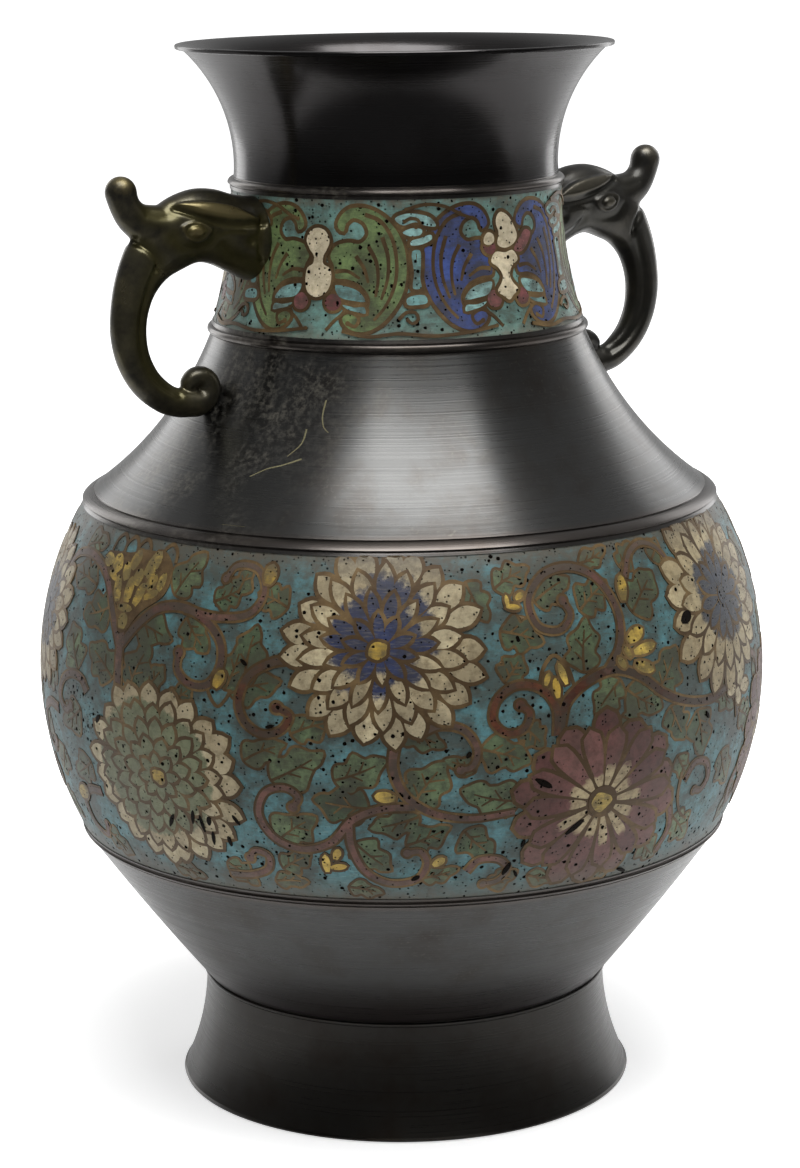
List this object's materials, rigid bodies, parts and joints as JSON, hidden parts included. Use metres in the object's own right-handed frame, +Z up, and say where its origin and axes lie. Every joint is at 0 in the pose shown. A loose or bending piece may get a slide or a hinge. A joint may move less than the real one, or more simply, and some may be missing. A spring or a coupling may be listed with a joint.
{
  "type": "champleve enamel vase",
  "caption": "Baluster bronze vase with a flared mouth and foot, champleve enamel bands of chrysanthemums and bats, and beast-head loop handles.",
  "frame": {"origin": "centre of the foot's resting plane, on the vase's axis", "axes": "+Z up the vase's axis to the mouth; the handles stand out along +X and -X; -Y is the front, with the blue bat on the neck"},
  "size_m": [0.2152, 0.2152, 0.31],
  "materials": {
    "bronze": "cast, turned and chemically patinated dark brown, waxed satin",
    "handle_bronze": "cast and patinated olive brown, rubbed brighter on the high points",
    "turquoise_enamel": "opaque champleve enamel, ground flush and matt-polished, pitted"
  },
  "bodies": {
    "root": {"mouth": "bronze", "neck": "bronze", "body": "bronze", "foot": "bronze", "base_plate": "bronze", "left_handle": "handle_bronze", "right_handle": "handle_bronze", "handle_rivets": "bronze", "neck_ground": "turquoise_enamel", "belly_ground": "turquoise_enamel"}
  },
  "joints": []
}
